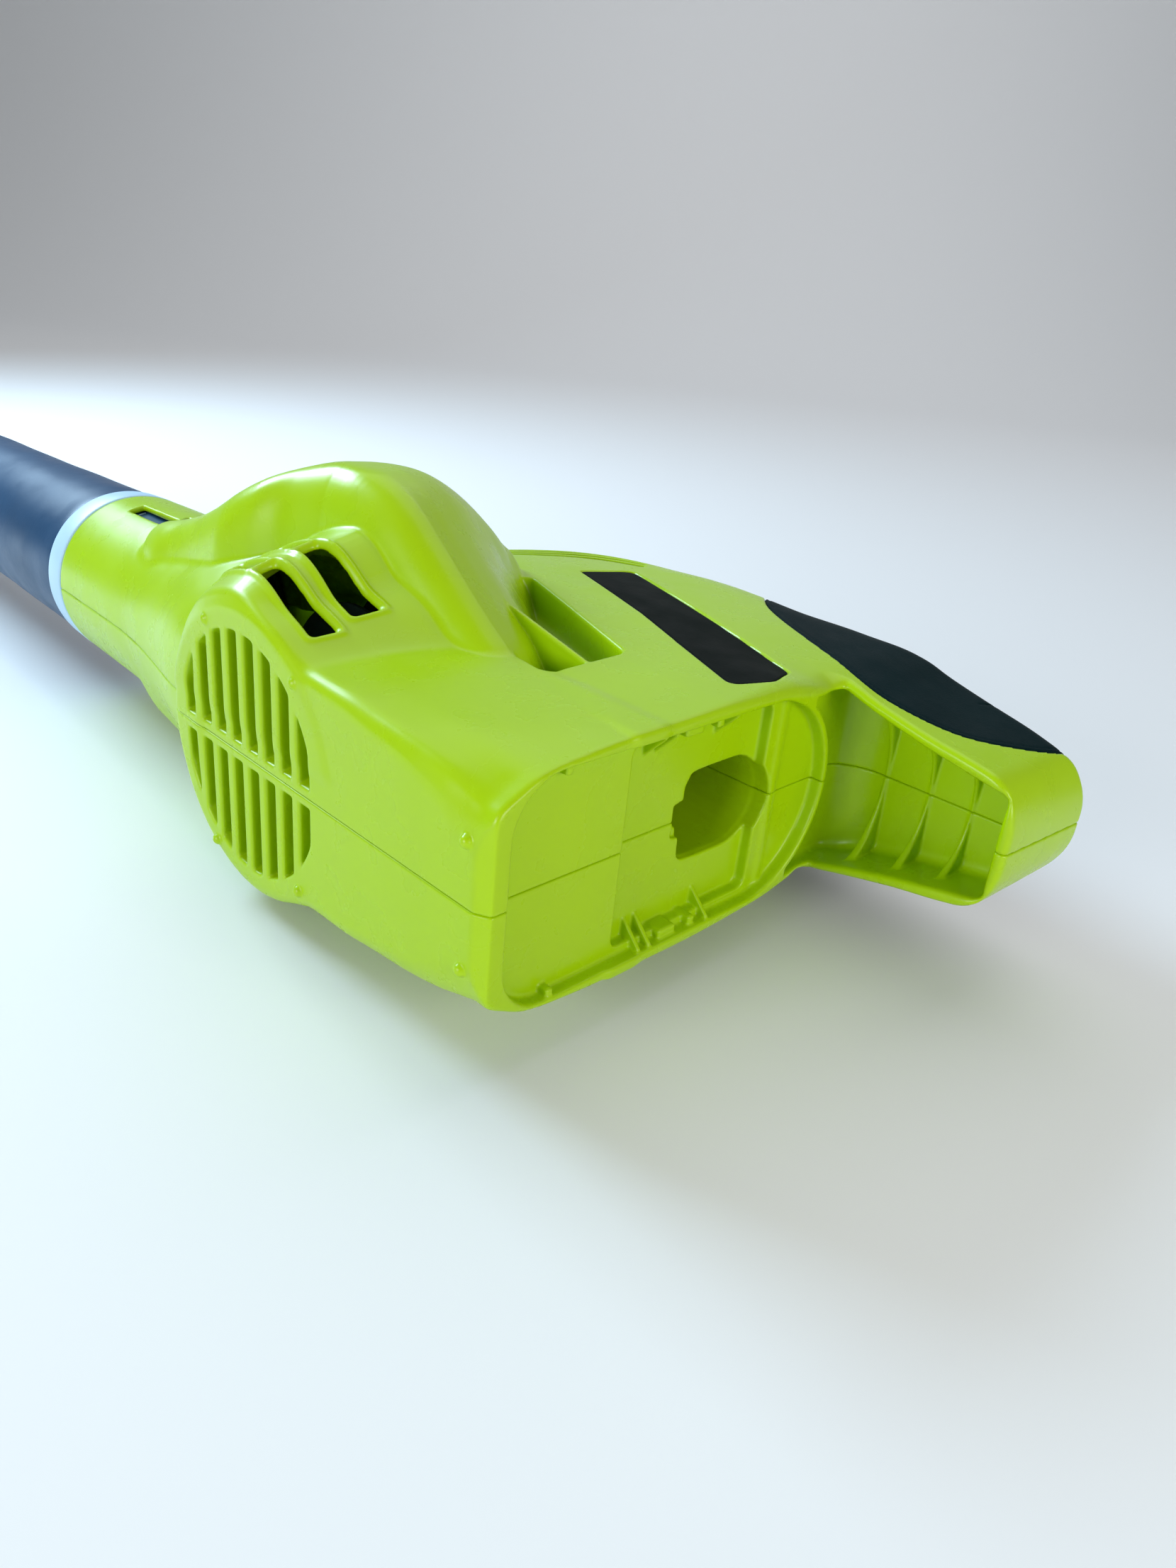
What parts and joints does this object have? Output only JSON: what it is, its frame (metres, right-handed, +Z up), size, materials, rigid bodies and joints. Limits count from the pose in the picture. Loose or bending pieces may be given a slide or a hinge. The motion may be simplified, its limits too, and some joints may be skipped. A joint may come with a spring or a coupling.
{
  "type": "cordless leaf blower",
  "caption": "Cordless hard-surface leaf blower lying on its side: lime clamshell body with grille, fan scroll, battery port, rubber-topped handle and a dark blow tube with flat nozzle.",
  "frame": {"origin": "where the fan axis leaves the flat base plate, at the middle of the intake grille", "axes": "+X along the blower towards the nozzle, +Y out of the base plate away from the body, +Z up, which is the blower's own left side: the blower lies on its right side"},
  "size_m": [0.9345, 0.2327, 0.1426],
  "materials": {
    "shell_green": "textured moulded plastic, satin",
    "grip_rubber": "soft dull overmould",
    "badge_black": "smooth dark label, blank",
    "ring_grey": "pale blue-grey plastic",
    "tube_dark": "dark slate blown plastic",
    "fan_black": "dark glass-filled plastic",
    "steel": "ground steel",
    "zinc": "zinc-plated screws",
    "motor_steel": "plated can",
    "ferrite": "dark ferrite",
    "laminations": "stacked steel sheet",
    "copper": "enamelled copper",
    "carbon": "pressed carbon",
    "black_nylon": "black nylon",
    "black_rubber": "dull rubber",
    "contact_brass": "tinned brass",
    "lead_red": "insulated lead",
    "lead_black": "insulated lead"
  },
  "bodies": {
    "housing": {"left_housing": "shell_green", "right_housing": "shell_green", "grip_cover": "grip_rubber", "badge_plate": "badge_black", "housing_screws": "zinc", "fan_inlet_ring": "fan_black", "motor_plate": "motor_steel", "motor_can": "motor_steel", "front_bearing": "steel", "rear_bearing": "steel", "motor_magnets": "ferrite", "motor_end_cap": "black_nylon", "motor_brushes": "carbon", "motor_terminals": "contact_brass", "motor_rubber_ring": "black_rubber", "motor_screws": "zinc", "battery_terminal_block": "black_nylon", "terminal_blades": "contact_brass", "switch_module": "black_nylon", "lead_battery_to_switch": "lead_red", "lead_battery_to_motor": "lead_black", "lead_switch_to_motor": "lead_red"},
    "rotor": {"motor_shaft": "steel", "impeller": "fan_black", "impeller_nut": "zinc", "rotor_core": "laminations", "rotor_windings": "copper", "commutator": "copper"},
    "power_switch": {"power_slider": "black_nylon"},
    "tube": {"blow_tube": "tube_dark", "collar_ring": "ring_grey", "nozzle_tip": "tube_dark"},
    "tube_release": {"release_tab": "ring_grey"}
  },
  "joints": [
    {"name": "fan_spin", "type": "hinge", "parent": "housing", "child": "rotor", "pos_m": [0, 0, 0], "axis": [0, 1, 0], "continuous": true},
    {"name": "power_slide", "type": "slide", "parent": "housing", "child": "power_switch", "axis": [1, 0, 0], "range_m": [0, 0.008]},
    {"name": "tube_draw", "type": "slide", "parent": "housing", "child": "tube", "axis": [1, 0, 0], "range_m": [0, 0.07]},
    {"name": "tab_press", "type": "slide", "parent": "tube", "child": "tube_release", "axis": [0, -0.2419, -0.9703], "range_m": [0, 0.0015], "stiffness_N_per_m": 500}
  ]
}
